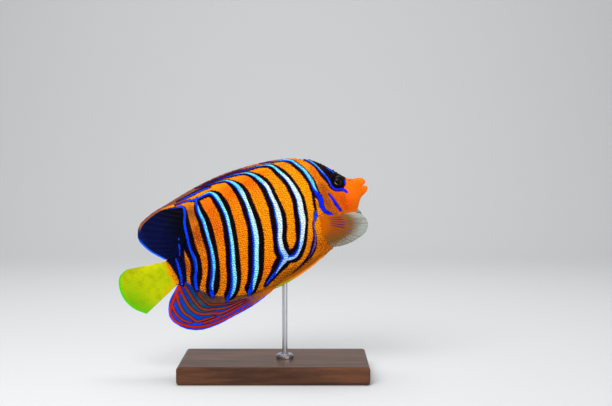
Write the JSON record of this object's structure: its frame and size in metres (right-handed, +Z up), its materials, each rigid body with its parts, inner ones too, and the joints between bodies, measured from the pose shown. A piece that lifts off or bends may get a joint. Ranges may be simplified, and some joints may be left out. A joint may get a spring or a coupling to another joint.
{
  "type": "fish model on a stand",
  "caption": "Still, life-size regal angelfish with flared side fins, held nose-up over a rectangular plinth by a thin rod.",
  "frame": {"origin": "middle of the plinth's underside", "axes": "+X along the fish as seen from above, towards its mouth, and along the plinth; +Y towards the fish's left flank; +Z up"},
  "size_m": [0.2001, 0.084, 0.1748],
  "materials": {
    "head": "painted, satin",
    "trunk": "painted, satin",
    "tail_stem": "painted, satin",
    "dorsal_fin": "painted, satin",
    "anal_fin": "painted, satin",
    "caudal_fin": "painted, satin",
    "pectoral_fin": "painted, thin and a little clear at the edge",
    "pelvic_fin": "painted, satin",
    "eye": "polished",
    "stand_wood": "dark, oiled",
    "stand_steel": "polished"
  },
  "bodies": {
    "root": {"head": "head", "trunk": "trunk", "tail_stem": "tail_stem", "dorsal_fin": "dorsal_fin", "anal_fin": "anal_fin", "caudal_fin": "caudal_fin", "pectoral_fin_right": "pectoral_fin", "pectoral_fin_left": "pectoral_fin", "pelvic_fin_right": "pelvic_fin", "pelvic_fin_left": "pelvic_fin", "eye_right": "eye", "eye_left": "eye", "stand_base": "stand_wood", "stand_rod": "stand_steel"}
  },
  "joints": []
}
